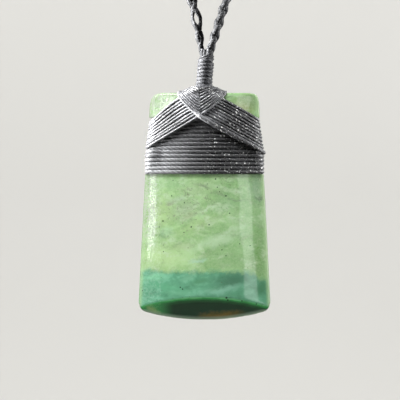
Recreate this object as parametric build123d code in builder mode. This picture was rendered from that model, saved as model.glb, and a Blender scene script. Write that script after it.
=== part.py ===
from build123d import *

import os
from math import cos, pi, radians, sin, sqrt, tan

os.makedirs("parts", exist_ok=True)

# Toki adze pendant: a bevelled blade of green stone, bound by its upper end to a plaited neck cord.
# Millimetres, +Z up, the front faces -Y. The origin is the plait's underside at the top of the loop.
# Heights on the pendant are measured down from the blade's top edge.

# Blade
blade_top = -285.5
blade_length = 50.1
blade_width = 29.0
blade_depth = 7.3
rim_depth = 1.4
rim_bulge = 0.45
bevel_angle = 35.8
top_edge_round = 0.5
left_corner_round = 1.8
right_corner_across = 1.25
right_corner_down = 1.6
end_corner_round = 2.4
end_corner_rise = 3.98
end_corner_turn = 74

# Binding thread, oval because it is pulled tight
thread_width = 0.88
thread_rise = 0.75
clearance = 0.05
bend_round = 0.3

# Notches in the blade's long edges, and the level turns that fill them
notch_top = 5.5
notch_depth_top = 1.54
notch_depth_end = 0.63
band_top = 7.2
band_turns = 12
rib_valley = 0.45
rib_shoulder = 0.22

# Crossed straps over the front, the top edge and the back
strap_climb = 0.9
top_steps = 4

# Bound neck and the cord ends in it
neck_foot = -0.1
neck_gap = 0.2
neck_lean = 4.6
neck_width = 3.66
neck_pitch = 0.66
neck_turns = 8
neck_rib_depth = 0.16
throat_height = 2.2
throat_shift = 0.35
throat_width = 3.7
throat_depth = 2.7

# Plaited neck cord
plait_width = 2.2
round_share = 0.45

# Blade above the notches: shares of the tang's length, of the blade's width and of its depth
TANG_SECTIONS = [
    # down, across, deep
    (0.00, 0.825, 0.72),
    (0.91, 0.836, 0.785),
]

# Blade below the notches: shares of the way from them to the cutting edge, of the width and of the depth
BODY_SECTIONS = [
    # down, across, deep
    (0.007, 0.902, 0.91),
    (0.44, 0.952, 0.98),
    (0.876, 1.000, 1.00),
    (1.093, 1.022, 1.00),
]

# Outlines of the two straps from the front: shares of the tang's half width and of the band's lower end
LEFT_STRAP = [
    # across, up
    (-1.34, -0.80),
    (-0.14, -0.31),
    (0.41, 0.00),
    (0.63, 0.11),
    (-0.13, 0.11),
    (-0.50, -0.08),
    (-1.00, -0.36),
    (-1.34, -0.55),
]
RIGHT_STRAP = [
    # across, up
    (1.34, -0.83),
    (0.18, -0.42),
    (-0.10, -0.30),
    (-0.53, 0.00),
    (-0.69, 0.11),
    (-0.07, 0.11),
    (0.36, -0.06),
    (0.96, -0.31),
    (1.34, -0.46),
]

# Middle line of the plait, from one end in the bound neck round to the other, Z from the blade's top edge
PLAIT_ROUTE = [
    # x, y, z
    (-0.73, 0.45, 9.5),
    (-3.4, 0.2, 21.5),
    (-9.8, 0.0, 44.0),
    (-23.2, 0.0, 88.0),
    (-37.8, 0.0, 134.0),
    (-53.5, 0.0, 180.0),
    (-70.0, 0.0, 225.0),
    (-47.5, 0.0, 272.0),
    (0.0, 0.0, 291.0),
    (47.5, 0.0, 272.0),
    (69.5, 0.0, 227.0),
    (56.5, 0.0, 180.0),
    (42.8, 0.0, 134.0),
    (28.2, 0.0, 88.0),
    (13.2, 0.0, 44.0),
    (5.3, -0.2, 21.5),
    (1.52, -0.45, 9.5),
]

# Sizes that follow from those above
band_end = band_top + band_turns * thread_width
notch_end = band_end + clearance
one_layer = clearance + thread_rise
two_layers = clearance + 2 * thread_rise
tang_half = TANG_SECTIONS[0][1] * blade_width / 2
neck_base = blade_top + two_layers + neck_gap
neck_length = neck_turns * neck_pitch


def between(low, high, share):
    """The value that lies at this share of the way from low to high."""
    return low + (high - low) * share


def blade_rows():
    """Each section of the blade: its distance down, its half width and its half depth."""
    tang = [(share * notch_top, across, deep) for share, across, deep in TANG_SECTIONS]
    body = [(between(notch_end, blade_length, share), across, deep) for share, across, deep in BODY_SECTIONS]
    return [(down, across * blade_width / 2, deep * blade_depth / 2) for down, across, deep in tang + body]


def stone_halves(down):
    """Half the blade's width and half its depth at this distance below its top edge."""
    rows = blade_rows()
    upper, lower = rows[0], rows[1]
    for row, after in zip(rows, rows[1:]):
        if down > row[0]:
            upper, lower = row, after
    share = (down - upper[0]) / (lower[0] - upper[0])
    return between(upper[1], lower[1], share), between(upper[2], lower[2], share)


def face_height(down, grow, across):
    """How far a grown face stands from the blade's middle plane at this distance from its middle line."""
    half_width, half_depth = stone_halves(down)
    shoulder = half_width - rim_bulge
    rise = half_depth - rim_depth / 2
    face_radius = (shoulder**2 + rise**2) / (2 * rise)
    return sqrt((face_radius + grow) ** 2 - across**2) - (face_radius - half_depth)


def notch_floor(down):
    """Half the blade's width between the notch floors at this distance below its top edge."""
    share = (down - notch_top) / (notch_end - notch_top)
    return stone_halves(down)[0] - between(notch_depth_top, notch_depth_end, share)


def rounded_top(grow):
    """Rows that round a grown form over the blade's top edge, each a distance down and a growth."""
    turn = top_edge_round + grow
    steps = [radians(step * 90 / top_steps) for step in range(top_steps + 1)]
    return [(turn * (1 - cos(angle)) - grow, turn * (sin(angle) - 1) + grow) for angle in steps]


def wrapped_form(rows):
    """The bound part of the blade, grown by a thickness: rows hold the distance down and the growth."""
    with BuildPart() as form:
        for down, grow in rows:
            corner = bend_round + max(grow, 0)
            side = notch_floor(down) + grow
            edge = side - corner
            front = face_height(down, grow, edge)
            level = front - corner
            bulge = corner * sin(radians(45))
            crest = stone_halves(down)[1] + grow
            with BuildSketch(Plane.XY.offset(blade_top - down)):
                with BuildLine():
                    ThreePointArc((-edge, -front), (0, -crest), (edge, -front))
                    ThreePointArc((edge, -front), (edge + bulge, -level - bulge), (side, -level))
                    Line((side, -level), (side, level))
                    ThreePointArc((side, level), (edge + bulge, level + bulge), (edge, front))
                    ThreePointArc((edge, front), (0, crest), (-edge, front))
                    ThreePointArc((-edge, front), (-edge - bulge, level + bulge), (-side, level))
                    Line((-side, level), (-side, -level))
                    ThreePointArc((-side, -level), (-edge - bulge, -level - bulge), (-edge, -front))
                make_face()
        loft(ruled=True)
    return form.part


def stone_form(rows):
    """The unbound blade, grown by a thickness: rows hold the distance down and the growth."""
    with BuildPart() as form:
        for down, grow in rows:
            half_width, half_depth = stone_halves(down)
            side = half_width + grow
            shoulder = side - rim_bulge
            rim = face_height(down, grow, shoulder)
            crest = half_depth + grow
            with BuildSketch(Plane.XY.offset(blade_top - down)):
                with BuildLine():
                    ThreePointArc((-shoulder, -rim), (0, -crest), (shoulder, -rim))
                    ThreePointArc((shoulder, -rim), (side, 0), (shoulder, rim))
                    ThreePointArc((shoulder, rim), (0, crest), (-shoulder, rim))
                    ThreePointArc((-shoulder, rim), (-side, 0), (-shoulder, -rim))
                make_face()
        loft(ruled=True)
    return form.part


def strap_points(table):
    """Corners of a strap's outline in the front view."""
    return [(across * tang_half, blade_top + up * band_end) for across, up in table]


# Stone blade
with BuildPart() as toki_blade:
    add(stone_form(rounded_top(0) + [(down, 0) for down, _, _ in blade_rows()[1:]]))

    # Front outline: a round corner and a cut one at the top, two round ones at the cutting edge
    corner_start = blade_length - end_corner_rise
    end_half = stone_halves(corner_start)[0]
    end_corner_x = end_half - end_corner_round
    end_corner_z = blade_top - corner_start
    turned = radians(end_corner_turn)
    middle_x = end_corner_x + end_corner_round * cos(turned / 2)
    middle_z = end_corner_z - end_corner_round * sin(turned / 2)
    last_x = end_corner_x + end_corner_round * cos(turned)
    last_z = end_corner_z - end_corner_round * sin(turned)
    low = last_z - last_x / tan(turned)
    left_bulge = left_corner_round * (1 - sin(radians(45)))
    with BuildSketch(Plane.XZ):
        with BuildLine():
            Line((-tang_half + left_corner_round, blade_top), (tang_half - right_corner_across, blade_top))
            Line(
                (tang_half - right_corner_across, blade_top),
                (tang_half + right_corner_across, blade_top - 2 * right_corner_down),
            )
            Line(
                (tang_half + right_corner_across, blade_top - 2 * right_corner_down),
                (blade_width, end_corner_z + end_corner_rise),
            )
            Line((blade_width, end_corner_z + end_corner_rise), (end_half, end_corner_z))
            ThreePointArc((end_half, end_corner_z), (middle_x, middle_z), (last_x, last_z))
            Line((last_x, last_z), (0, low))
            Line((0, low), (-last_x, last_z))
            ThreePointArc((-last_x, last_z), (-middle_x, middle_z), (-end_half, end_corner_z))
            Line((-end_half, end_corner_z), (-blade_width, end_corner_z + end_corner_rise))
            Line((-blade_width, end_corner_z + end_corner_rise), (-blade_width, blade_top - blade_width))
            Line((-blade_width, blade_top - blade_width), (-tang_half, blade_top - left_corner_round))
            ThreePointArc(
                (-tang_half, blade_top - left_corner_round),
                (-tang_half + left_bulge, blade_top - left_bulge),
                (-tang_half + left_corner_round, blade_top),
            )
        make_face()
    extrude(amount=blade_depth, both=True, mode=Mode.INTERSECT)

    # Bevel: one flat cut from the front face down to the cutting edge at the back
    back = blade_depth / 2
    slope = tan(radians(bevel_angle))
    edge_z = blade_top - blade_length
    with BuildSketch(Plane.YZ):
        with BuildLine():
            Polyline(
                (2 * back, edge_z - back * slope),
                (-2 * back, edge_z + 3 * back * slope),
                (-2 * back, edge_z - blade_depth),
                (2 * back, edge_z - blade_depth),
                close=True,
            )
        make_face()
    extrude(amount=blade_width, both=True, mode=Mode.SUBTRACT)

    # Notches for the binding
    with BuildSketch(Plane.XZ):
        for hand in (-1, 1):
            with BuildLine():
                Polyline(
                    (hand * notch_floor(notch_top), blade_top - notch_top),
                    (hand * blade_width, blade_top - notch_top),
                    (hand * blade_width, blade_top - notch_end),
                    (hand * notch_floor(notch_end), blade_top - notch_end),
                    close=True,
                )
            make_face()
    extrude(amount=blade_depth, both=True, mode=Mode.SUBTRACT)
    floor_edges = toki_blade.edges(Select.LAST).sort_by(SortBy.LENGTH)[-4:]
    fillet(floor_edges, bend_round)
toki_blade.part.label = "toki_blade"
export_step(toki_blade.part, "parts/toki_blade.step")

# Level turns of thread round the blade, a flat-topped rib for each turn
rib_rows = []
for turn in range(band_turns):
    start = band_top + turn * thread_width
    rib_rows.append((start, clearance + rib_valley * thread_rise))
    rib_rows.append((start + rib_shoulder * thread_width, one_layer))
    rib_rows.append((start + (1 - rib_shoulder) * thread_width, one_layer))
rib_rows.append((band_end, clearance + rib_valley * thread_rise))
ribbed_form = wrapped_form(rib_rows)
band_bore = wrapped_form([(band_top - thread_width, clearance), (band_end + thread_width, clearance)])
with BuildPart() as band_whipping:
    add(ribbed_form)
    add(band_bore, mode=Mode.SUBTRACT)
band_whipping.part.label = "band_whipping"
export_step(band_whipping.part, "parts/band_whipping.step")

# Straps, one layer thick on the stone and one layer over the level turns
strap_end = band_end - thread_width
strap_form = wrapped_form(
    rounded_top(one_layer)
    + [
        (band_top - strap_climb, one_layer),
        (band_top - clearance, two_layers + clearance),
        (strap_end, two_layers + clearance),
    ]
)

# Crown, two layers thick where the straps cross under the neck
crown_form = wrapped_form(rounded_top(two_layers) + [(band_top - strap_climb, two_layers)])
with BuildPart() as crown:
    add(crown_form)
    for table in (LEFT_STRAP, RIGHT_STRAP):
        with BuildSketch(Plane.XZ):
            with BuildLine():
                Polyline(*strap_points(table), close=True)
            make_face()
        extrude(amount=blade_depth, both=True, mode=Mode.INTERSECT)

# Room under the straps for the tang, for the stone between the notches and for the level turns
notch_line = notch_top + clearance
tang_line = blade_rows()[1][0]
tang_room = stone_form(rounded_top(clearance) + [(tang_line, clearance), (notch_line, clearance)])
stone_room = wrapped_form([(notch_line, clearance), (band_end, clearance)])
band_room = wrapped_form([(band_top - clearance, one_layer + clearance), (band_end, one_layer + clearance)])
with BuildPart() as cross_lashing:
    add(strap_form)
    with BuildSketch(Plane.XZ):
        for table in (LEFT_STRAP, RIGHT_STRAP):
            with BuildLine():
                Polyline(*strap_points(table), close=True)
            make_face()
    extrude(amount=blade_depth, both=True, mode=Mode.INTERSECT)
    add(crown.part)
    add(tang_room, mode=Mode.SUBTRACT)
    add(stone_room, mode=Mode.SUBTRACT)
    add(band_room, mode=Mode.SUBTRACT)
cross_lashing.part.label = "cross_lashing"
export_step(cross_lashing.part, "parts/cross_lashing.step")

# Bound neck: a leaning sleeve of close turns that stands on the crown
lean = radians(neck_lean)
neck_plane = Plane(
    origin=(neck_foot, 0, neck_base),
    x_dir=(cos(lean), 0, -sin(lean)),
    z_dir=(sin(lean), 0, cos(lean)),
)
neck_radius = neck_width / 2
core_radius = neck_radius - thread_rise - clearance
with BuildPart() as neck_whipping:
    for turn in range(neck_turns):
        with BuildSketch(neck_plane.offset(turn * neck_pitch)):
            Circle(neck_radius - neck_rib_depth)
        with BuildSketch(neck_plane.offset((turn + rib_shoulder) * neck_pitch)):
            Circle(neck_radius)
        with BuildSketch(neck_plane.offset((turn + 1 - rib_shoulder) * neck_pitch)):
            Circle(neck_radius)
    with BuildSketch(neck_plane.offset(neck_length)):
        Circle(neck_radius - neck_rib_depth)
    loft(ruled=True)
    with BuildSketch(neck_plane):
        Circle(core_radius + clearance)
    extrude(amount=neck_length, mode=Mode.SUBTRACT)
neck_whipping.part.label = "neck_whipping"
export_step(neck_whipping.part, "parts/neck_whipping.step")

# Cord ends: a core inside the bound neck, and the throat above it where the two plaits join
throat_foot = neck_plane.offset(neck_length + clearance)
throat_top = neck_plane.offset(neck_length + clearance + throat_height)
with BuildPart() as cord_ends:
    with BuildSketch(neck_plane):
        Circle(core_radius)
    extrude(amount=neck_length + 2 * clearance)
    with BuildSketch(throat_foot):
        Ellipse(neck_radius - neck_rib_depth, neck_radius - neck_rib_depth - clearance)
    with BuildSketch(throat_top.offset(-throat_height / 2)):
        with Locations((throat_shift / 2, 0)):
            Ellipse((neck_radius + throat_width / 2) / 2 - neck_rib_depth, throat_depth / 2)
    with BuildSketch(throat_top):
        with Locations((throat_shift, 0)):
            Ellipse(throat_width / 2 - neck_rib_depth, throat_depth / 2)
    loft(ruled=True)
cord_ends.part.label = "cord_ends"
export_step(cord_ends.part, "parts/cord_ends.step")

# Plaited cord as a tube of its outer size: straight runs joined by arcs as large as the runs allow
route = [Vector(x, y, blade_top + z) for x, y, z in PLAIT_ROUTE]
arc_radii = []
for before, corner_point, after in zip(route, route[1:], route[2:]):
    run_in = corner_point - before
    run_out = after - corner_point
    shorter = min(run_in.length, run_out.length)
    arc_radii.append(round_share * shorter / tan(radians(run_in.get_angle(run_out)) / 2))
with BuildPart() as neck_plait:
    with BuildLine() as plait_path:
        FilletPolyline(*route, radius=arc_radii)
    path_length = plait_path.wires()[0].length
    with BuildSketch(Plane(origin=plait_path.wires()[0] @ 0, z_dir=plait_path.wires()[0] % 0)):
        Circle(plait_width / 2)
    sweep()
neck_plait.part.label = "neck_plait"
export_step(neck_plait.part, "parts/neck_plait.step")

print("plait arc radii, mm:", [round(radius, 1) for radius in arc_radii])
print("plait length, mm:", round(path_length, 1))
print("tube volume, mm3:", round(neck_plait.part.volume, 1))
print("section times length, mm3:", round(path_length * pi * plait_width**2 / 4, 1))
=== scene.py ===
import math
from functools import partial

import bpy
import numpy as np
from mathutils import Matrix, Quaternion, Vector


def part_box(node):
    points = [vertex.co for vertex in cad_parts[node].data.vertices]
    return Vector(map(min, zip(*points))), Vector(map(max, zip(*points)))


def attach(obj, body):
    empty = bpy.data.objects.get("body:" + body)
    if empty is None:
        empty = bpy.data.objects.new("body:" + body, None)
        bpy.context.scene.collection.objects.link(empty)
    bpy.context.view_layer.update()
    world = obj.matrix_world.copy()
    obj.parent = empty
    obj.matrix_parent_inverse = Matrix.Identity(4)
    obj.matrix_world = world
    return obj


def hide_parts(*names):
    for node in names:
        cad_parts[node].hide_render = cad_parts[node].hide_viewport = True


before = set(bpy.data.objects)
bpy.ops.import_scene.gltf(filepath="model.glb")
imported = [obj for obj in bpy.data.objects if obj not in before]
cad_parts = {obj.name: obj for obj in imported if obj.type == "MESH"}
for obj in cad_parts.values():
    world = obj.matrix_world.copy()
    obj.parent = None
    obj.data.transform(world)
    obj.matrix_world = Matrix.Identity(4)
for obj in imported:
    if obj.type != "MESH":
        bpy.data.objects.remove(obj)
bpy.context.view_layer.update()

bl_info = {
    "name": "Toki Adze Pendant",
    "version": (1, 0, 0),
    "blender": (4, 5, 0),
    "location": "View3D > Sidebar > Pendant",
    "description": "Models and dresses a bevelled stone blade lashed to a plaited neck cord",
    "category": "Add Mesh",
}

MM = 0.001

# Blade, in millimetres below its top edge: the same sizes as the solid has
BLADE_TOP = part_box("toki_blade")[1].z / MM
DOWN = [0.0, 5.005, 18.04, 32.0, 46.1, 53.1]
HALF_WIDTH = [11.96, 12.12, 13.08, 13.80, 14.50, 14.82]
HALF_DEPTH = [2.63, 2.87, 3.32, 3.58, 3.65, 3.65]
RIM_HALF = 0.7
RIM_BULGE = 0.45
RIM_ROUND = 0.3
TOP_ROUND = 0.5
BEVEL_LENGTH = 50.1
BEVEL_BACK = 3.65
BEVEL_ANGLE = math.radians(35.8)
BEVEL_ROUND = 0.32
END_ROUND = 2.4
END_CENTRE = (11.95, 46.12)
LEFT_ROUND = 2.6
RIGHT_ROUND = 1.8
NOTCH = (5.5, 17.81)
NOTCH_DEPTH = (1.54, 0.63)
BOUND_ROUND = 0.3
THREAD_SEAT = 0.05
SIDE_LINE = 13.12

# Grinding, in mm: points nearer than this are merged, and the mesh's grain; and the fewest points of a closed mesh
MERGE = 0.002
GRAIN = 0.29
FEWEST_POINTS = 10000

# Front view of the outermost threads of each strap, x and height from the blade's top edge, side to top
LEFT_INNER = [
    (-14.0, -8.3), (-12.2, -6.9), (-6.0, -1.3), (-1.2, 0.6),
    (-0.4, 1.0), (0.6, 1.2), (1.7, 1.35), (3.2, 1.5),
]
LEFT_OUTER = [
    (-14.5, -13.0), (-12.6, -11.95), (-2.0, -5.65), (-1.15, -5.1),
    (1.4, -3.25), (3.3, -1.65), (4.6, -0.25), (4.8, 1.0),
]
RIGHT_INNER = [
    (14.2, -7.6), (12.3, -6.25), (4.1, -1.45), (-1.1, 0.7),
    (-1.7, 1.0), (-2.3, 1.15), (-2.9, 1.3), (-4.2, 1.5),
]
RIGHT_OUTER = [
    (14.6, -14.0), (12.8, -12.75), (2.2, -7.15), (-1.0, -5.3),
    (-2.85, -3.85), (-4.4, -2.15), (-5.75, -0.75), (-5.3, 0.7),
]
CROSS_X = -0.95
# Low crown of cord ends on the top edge: its middle's x, half width and height
CROWN = (-0.3, 4.6, 1.1)
# Level turns, in mm: lower edge of the last one, thickness, and how much wider than their pitch they are pressed
LAST_TURN = 17.78
TURN_RISE = 0.73
TURN_PRESS = 1.1
# Crossed straps, in mm: lift over the level turns and over each other, the heap where they cross and its half width,
# and how much higher every other thread rides over the top edge
OVER_TURNS = 0.78
OVER_STRAP = 0.56
HEAP = 0.38
HEAP_WIDE = 5.4
PILED = 0.22
# Shares of a strap thread's width: lost where threads bunch up, and kept by the last one on the right
BUNCHED = 0.31
LAST_WIDE = 1.35
# Neck turns: lean, turns, pitch, thread's width and rise, and the radius at heights above the foot
NECK_LEAN = math.radians(4.6)
NECK_TURNS = 8.1
NECK_PITCH = 0.79
NECK_THREAD = (0.92, 0.62)
NECK_HEIGHTS = [-0.6, 0.4, 1.5, 3.0, 4.4, 5.3]
NECK_RADII = [1.66, 1.52, 1.47, 1.50, 1.53, 1.50]
# Tops of the cord ends in the throat, x, y and height from the blade's top edge
THROAT_TOPS = [
    (-0.75, -0.35, 9.2), (-0.1, -0.75, 9.0), (0.55, -0.8, 8.9), (1.75, -0.55, 8.9),
    (1.0, 0.7, 8.8), (0.2, 0.8, 8.9), (-0.5, 0.6, 8.8),
]
# Photo: pixels across, pixels to the mm, and what its middle shows, x and height from the blade's top edge in mm
PHOTO_WIDE = 400
PHOTO_SCALE = 4.55
PHOTO_MIDDLE = (-0.99, -23.5)

# Middle line of the plait, in millimetres: the ends in the bound neck, and between them the solid's route
LEFT_END = [(0.05, 0.5, -279.9), (-0.2, 0.5, -277.6)]
PLAIT_ROUTE = [
    (-0.73, 0.45, -276.0), (-1.5, 0.35, -270.0), (-3.0, 0.2, -264.0), (-9.8, 0.0, -241.5), (-23.2, 0.0, -197.5),
    (-37.8, 0.0, -151.5), (-53.5, 0.0, -105.5), (-70.0, 0.0, -60.5), (-47.5, 0.0, -13.5),
    (0.0, 0.0, 5.5), (47.5, 0.0, -13.5), (69.5, 0.0, -58.5), (56.5, 0.0, -105.5),
    (42.8, 0.0, -151.5), (28.2, 0.0, -197.5), (13.2, 0.0, -241.5), (5.1, -0.2, -264.0),
    (1.3, -0.55, -276.0),
]
RIGHT_END = [(0.8, -0.5, -277.6), (0.4, -0.5, -279.9)]
# Height of the open place between the left plait's cords
PLAIT_OPEN = -269.2


def linear(hex_code, alpha=1.0):
    """An sRGB hex colour as Blender's linear colour."""
    parts = [int(hex_code[i : i + 2], 16) / 255 for i in (1, 3, 5)]
    return tuple(c / 12.92 if c <= 0.04045 else ((c + 0.055) / 1.055) ** 2.4 for c in parts) + (alpha,)


# ---------------------------------------------------------------- ground form


def rounded_both(a, b, radius):
    """Distance from the form that lies inside both others, with their shared edge rounded."""
    outside = np.hypot(np.maximum(a + radius, 0), np.maximum(b + radius, 0))
    return outside + np.minimum(np.maximum(a, b), -radius)


def soft_table(down, values):
    """A section table read without kinks."""
    spread = (-2.4, -1.2, 0.0, 1.2, 2.4)
    return sum(np.interp(down + k, DOWN, values) for k in spread) / len(spread)


def face_gap(p):
    """Distance from the blade's two curved faces."""
    down = BLADE_TOP - p[:, 2]
    width, depth = soft_table(down, HALF_WIDTH), soft_table(down, HALF_DEPTH)
    rise = depth - RIM_HALF
    radius = ((width - RIM_BULGE) ** 2 + rise**2) / (2 * rise)
    return np.hypot(p[:, 0], np.abs(p[:, 1]) + radius - depth) - radius


def notch_floor(down):
    return soft_table(down, HALF_WIDTH) - np.interp(down, NOTCH, NOTCH_DEPTH)


def bevel_gap(p):
    """Distance from the flat bevel that ends in the cutting edge at the back."""
    low = p[:, 2] - BLADE_TOP + BEVEL_LENGTH
    return -(p[:, 1] - BEVEL_BACK) * math.sin(BEVEL_ANGLE) - low * math.cos(BEVEL_ANGLE)


def stone_gap(p):
    """Distance from the ground and polished blade, edges softened as by hand."""
    x, y, down = p[:, 0], p[:, 1], BLADE_TOP - p[:, 2]
    side = np.abs(x) - soft_table(down, HALF_WIDTH) + RIM_BULGE * np.minimum(np.abs(y) / RIM_HALF, 1.5) ** 2
    wave = 0.012 * (np.sin(0.55 * x + 0.31 * down + 0.8) + np.sin(0.23 * x - 0.47 * down))
    gap = rounded_both(face_gap(p) + wave, side, RIM_ROUND)
    gap = rounded_both(gap, -down, TOP_ROUND)
    gap = rounded_both(gap, bevel_gap(p), BEVEL_ROUND)
    across, below = np.abs(x) - END_CENTRE[0], down - END_CENTRE[1]
    corner = np.where((across > 0) & (below > 0), np.hypot(across, below) - END_ROUND, -5.0)
    for hand, radius in ((-1, LEFT_ROUND), (1, RIGHT_ROUND)):
        across, above = hand * x - (HALF_WIDTH[0] - radius), radius - down
        corner = np.maximum(corner, np.where((across > 0) & (above > 0), np.hypot(across, above) - radius, -5.0))
    gap = rounded_both(gap, corner, RIM_ROUND)
    notch = np.minimum(np.abs(x) - notch_floor(down), np.minimum(down - NOTCH[0], NOTCH[1] - down))
    return rounded_both(gap, notch, 0.12)


def bound_gap(p):
    """Distance from the part of the blade that the thread is drawn round, notches filled to their floors."""
    down = BLADE_TOP - p[:, 2]
    side = np.abs(p[:, 0]) - notch_floor(down)
    gap = rounded_both(face_gap(p), side, BOUND_ROUND)
    return rounded_both(gap, -down, TOP_ROUND)


def crown_gap(p):
    """Distance from the bound form with the low crown that the cord ends make on its top edge."""
    middle, wide, high = CROWN
    away = np.abs(p[:, 0] - middle) / wide
    over = p[:, 2] - BLADE_TOP - high * (1 - away**2) + 30 * np.maximum(away - 1, 0)
    over = over / np.sqrt(1 + (2 * high * away / wide) ** 2)
    return np.minimum(bound_gap(p), rounded_both(face_gap(p), over, 0.9))


def slope(gap, p, step=0.01):
    """The outward direction of a form at each point, and how fast its distance grows there."""
    grown = np.stack([gap(p + step * axis) - gap(p - step * axis) for axis in np.eye(3)], 1) / (2 * step)
    size = np.linalg.norm(grown, axis=1, keepdims=True)
    return grown / np.maximum(size, 1e-9), size[:, 0]


# ---------------------------------------------------------------- threads and strands


def smooth_line(points, rounds=4):
    """A polyline with its corners cut again and again, ends kept."""
    line = np.array(points, float)
    for _ in range(rounds):
        near, far = 0.75 * line[:-1] + 0.25 * line[1:], 0.25 * line[:-1] + 0.75 * line[1:]
        line = np.vstack([line[:1], np.stack([near, far], 1).reshape(-1, line.shape[1])[1:-1], line[-1:]])
    return line


def along(line, closed=False):
    """Distance travelled along a line at each of its points, and its whole length."""
    ends = np.vstack([line, line[:1]]) if closed else line
    steps = np.linalg.norm(np.diff(ends, axis=0), axis=1)
    run = np.concatenate([[0], np.cumsum(steps)])
    return run, run[-1]


def even_points(line, spacing, closed=False):
    """The line's points again, evenly spaced."""
    run, length = along(line, closed)
    count = max(8, int(round(length / spacing)))
    wanted = np.linspace(0, length, count, endpoint=not closed)
    ends = np.vstack([line, line[:1]]) if closed else line
    return np.stack([np.interp(wanted, run, ends[:, i]) for i in range(line.shape[1])], 1)


def headings(line, closed=False):
    """The unit direction of travel at each point."""
    if closed:
        way = np.roll(line, -1, 0) - np.roll(line, 1, 0)
    else:
        way = np.gradient(line, axis=0)
    return way / np.maximum(np.linalg.norm(way, axis=1, keepdims=True), 1e-9)


def unit(v):
    return v / np.maximum(np.linalg.norm(v, axis=1, keepdims=True), 1e-9)


def sweep_oval(line, outward, width, rise, sides, closed, lobes, lay):
    """Rings of an oval thread along a line: vertices, faces and a UV for each corner, U in mm along it."""
    way = headings(line, closed)
    across = unit(np.cross(way, outward))
    out = np.cross(across, way)
    run, length = along(line, closed)
    count = len(line)
    turn = np.linspace(0, 2 * math.pi, sides, endpoint=False)
    swell = 1 + 0.075 * np.cos(lobes * turn[None, :] + 2 * math.pi * run[:count, None] / lay)
    w = (np.zeros(count) + width)[:, None, None] / 2
    h = (np.zeros(count) + rise)[:, None, None] / 2
    offsets = np.cos(turn)[None, :, None] * across[:, None, :] * w + np.sin(turn)[None, :, None] * out[:, None, :] * h
    rings = line[:, None, :] + offsets * swell[:, :, None]
    verts = rings.reshape(-1, 3)
    rows = np.arange(count if closed else count - 1)
    i, j = np.meshgrid(rows, np.arange(sides), indexing="ij")
    nxt, side_nxt = (i + 1) % count, (j + 1) % sides
    here, there = i * sides, nxt * sides
    faces = np.stack([here + j, here + side_nxt, there + side_nxt, there + j], -1).reshape(-1, 4)
    u0, u1 = run[i], run[i + 1] if closed else run[np.minimum(i + 1, count - 1)]
    v0, v1 = j / sides, (j + 1) / sides
    uv = np.stack([u0, v0, u0, v1, u1, v1, u1, v0], -1).reshape(-1, 2)
    faces, uv = faces.tolist(), uv.tolist()
    if not closed:
        first, last = list(range(sides))[::-1], [(count - 1) * sides + k for k in range(sides)]
        faces += [first, last]
        uv += [[0, k / sides] for k in range(sides)] + [[length, k / sides] for k in range(sides)]
    return verts, faces, uv


def link_new(name, data):
    """A new object of the scene."""
    thing = bpy.data.objects.new(name, data)
    bpy.context.scene.collection.objects.link(thing)
    return thing


def edit_whole(thing, operator, **settings):
    """Runs one mesh operator on the whole of an object, which stays selected and active."""
    bpy.ops.object.select_all(action="DESELECT")
    thing.select_set(True)
    bpy.context.view_layer.objects.active = thing
    bpy.ops.object.mode_set(mode="EDIT")
    bpy.ops.mesh.select_all(action="SELECT")
    operator(**settings)
    bpy.ops.object.mode_set(mode="OBJECT")


def thread_object(name, threads, sides=14, lobes=4, lay=2.2):
    """One object from many threads, each a line, its outward directions, a width, a rise and whether it closes."""
    verts, faces, uvs, base = [], [], [], 0
    for line, outward, width, rise, closed in threads:
        v, f, uv = sweep_oval(line, outward, width, rise, sides, closed, lobes, lay)
        verts.append(v)
        faces += [[k + base for k in face] for face in f]
        uvs += uv
        base += len(v)
    mesh = bpy.data.meshes.new(name)
    mesh.from_pydata((np.vstack(verts) * MM).tolist(), [], faces)
    layer = mesh.uv_layers.new(name="thread")
    layer.data.foreach_set("uv", np.array(uvs, np.float32).ravel())
    mesh.update()
    mesh.polygons.foreach_set("use_smooth", [True] * len(mesh.polygons))
    thing = link_new(name, mesh)
    edit_whole(thing, bpy.ops.mesh.normals_make_consistent, inside=False)
    thing.select_set(False)
    return thing


def blend_step(value, start, end):
    """0 before start and 1 after end, with a smooth step between."""
    t = np.clip((value - start) / (end - start), 0, 1)
    return t * t * (3 - 2 * t)


def drawn_loop(place, lift, gap, count=720):
    """A thread drawn tight round the bound form: place turns a share and an angle into points."""
    angle = np.linspace(0, 2 * math.pi, count, endpoint=False)
    low, high = np.zeros(count), np.full(count, 1.8)
    for _ in range(34):
        share = (low + high) / 2
        p = place(share, angle)
        inside = gap(p) < lift(p)
        low, high = np.where(inside, share, low), np.where(inside, high, share)
    return place((low + high) / 2, angle)


# ---------------------------------------------------------------- materials


SMOOTH = {"interpolation_type": "SMOOTHSTEP"}
OVER = {"output": 2, "data_type": "RGBA"}


def add_node(tree, kind, sockets, output=0, stops=(), **settings):
    """Adds one node and gives one of its outputs.

    Each socket gets a value, an sRGB hex colour or another node's output; stops are a ramp's places and colours.
    """
    node = tree.nodes.new("ShaderNode" + kind)
    for key, value in settings.items():
        setattr(node, key, value)
    for key, value in sockets.items():
        if isinstance(value, bpy.types.NodeSocket):
            tree.links.new(value, node.inputs[key])
        else:
            node.inputs[key].default_value = linear(value) if isinstance(value, str) else value
    if stops:
        node.color_ramp.interpolation = "EASE"
        while len(node.color_ramp.elements) < len(stops):
            node.color_ramp.elements.new(0.5)
        for element, (place, colour) in zip(node.color_ramp.elements, stops):
            element.position = place
            element.color = linear(colour) if isinstance(colour, str) else colour
    return node.outputs[output] if node.outputs else None


def new_material(name):
    """An empty node material, and the function that adds nodes to it."""
    material = bpy.data.materials.new(name)
    material.use_nodes = True
    material.node_tree.nodes.clear()
    return material, partial(add_node, material.node_tree)


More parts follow.
